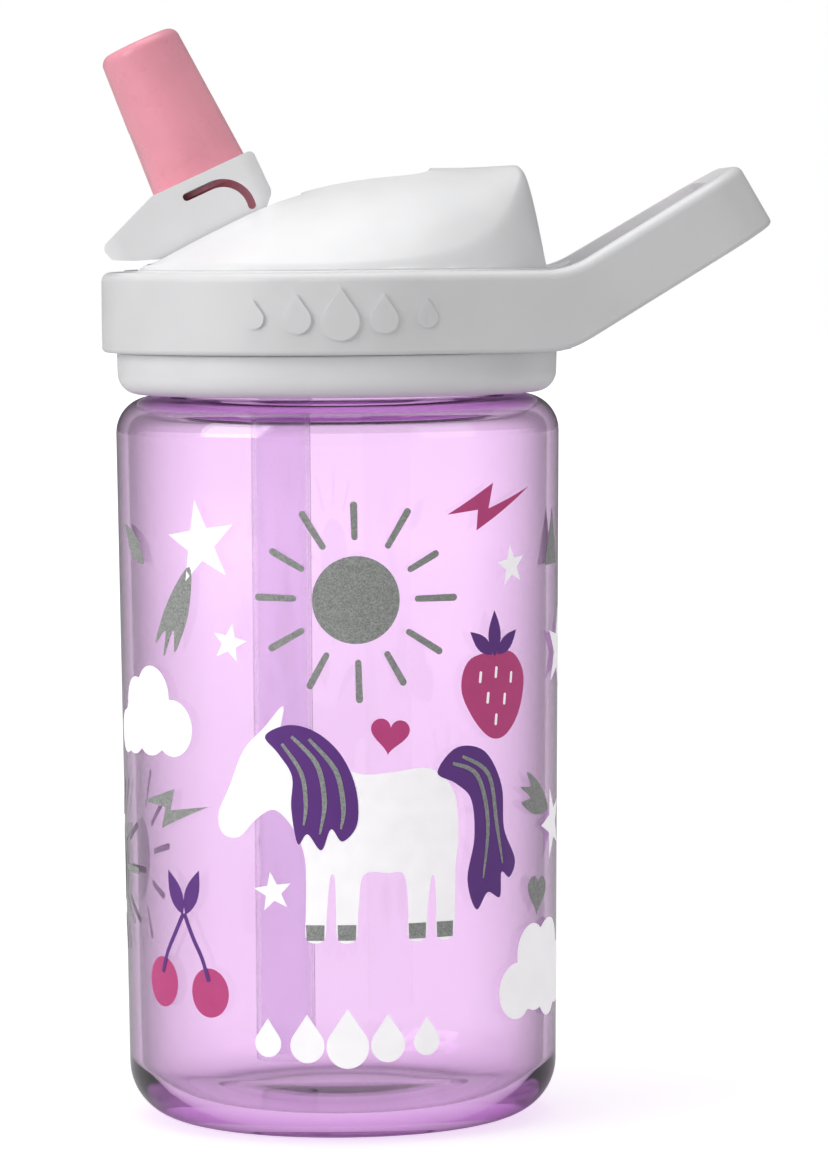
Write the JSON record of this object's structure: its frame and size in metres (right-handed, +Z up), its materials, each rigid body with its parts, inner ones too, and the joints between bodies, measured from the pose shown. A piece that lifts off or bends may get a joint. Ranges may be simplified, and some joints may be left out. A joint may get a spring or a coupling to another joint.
{
  "type": "kids water bottle",
  "caption": "Clear tapered kids drinking bottle with a white screw cap, flip-up spout with a soft bite valve, inner straw and a bent-up carry loop.",
  "frame": {"origin": "middle of the plane that the bottle stands on, on the bottle's axis", "axes": "+Z up along the bottle's axis, +X toward the carry loop, -X toward the spout"},
  "size_m": [0.1092, 0.0777, 0.1792],
  "materials": {
    "bottle_plastic": "clear, lilac tinted, glossy",
    "cap_plastic": "white, satin",
    "ring_plastic": "white, satin",
    "stem_plastic": "white, matt",
    "straw_plastic": "frosted, translucent",
    "valve_silicone": "pink, translucent, soft sheen",
    "seal_silicone": "milky silicone",
    "ink_white": "opaque printing ink",
    "ink_silver": "silver-grey glitter ink",
    "ink_purple": "opaque printing ink",
    "ink_magenta": "opaque printing ink"
  },
  "bodies": {
    "bottle": {"bottle_body": "bottle_plastic"},
    "cap_lift": {"cap_gasket": "seal_silicone"},
    "cap": {"cap_base": "cap_plastic", "vent_valve": "seal_silicone", "straw": "straw_plastic", "barrel_seal": "seal_silicone", "handle_ring": "ring_plastic", "dome_cover": "cap_plastic"},
    "spout": {"spout_housing": "cap_plastic", "spout_stem": "stem_plastic", "bite_valve": "valve_silicone"}
  },
  "joints": [
    {"name": "cap_rise", "type": "slide", "parent": "bottle", "child": "cap_lift", "axis": [0, 0, 1], "range_m": [0, 0.00501]},
    {"name": "cap_turn", "type": "hinge", "parent": "cap_lift", "child": "cap", "pos_m": [0, 0, 0.13], "axis": [0, 0, 1], "range_deg": [0, 450]},
    {"name": "spout_flip", "type": "hinge", "parent": "cap", "child": "spout", "pos_m": [-0.0184, 0, 0.149], "axis": [0, 1, 0], "range_deg": [0, 114.5]}
  ],
  "couplings": [
    {"joint": "cap_rise", "follows": "cap_turn", "m_per_rad": 0.00063662}
  ]
}
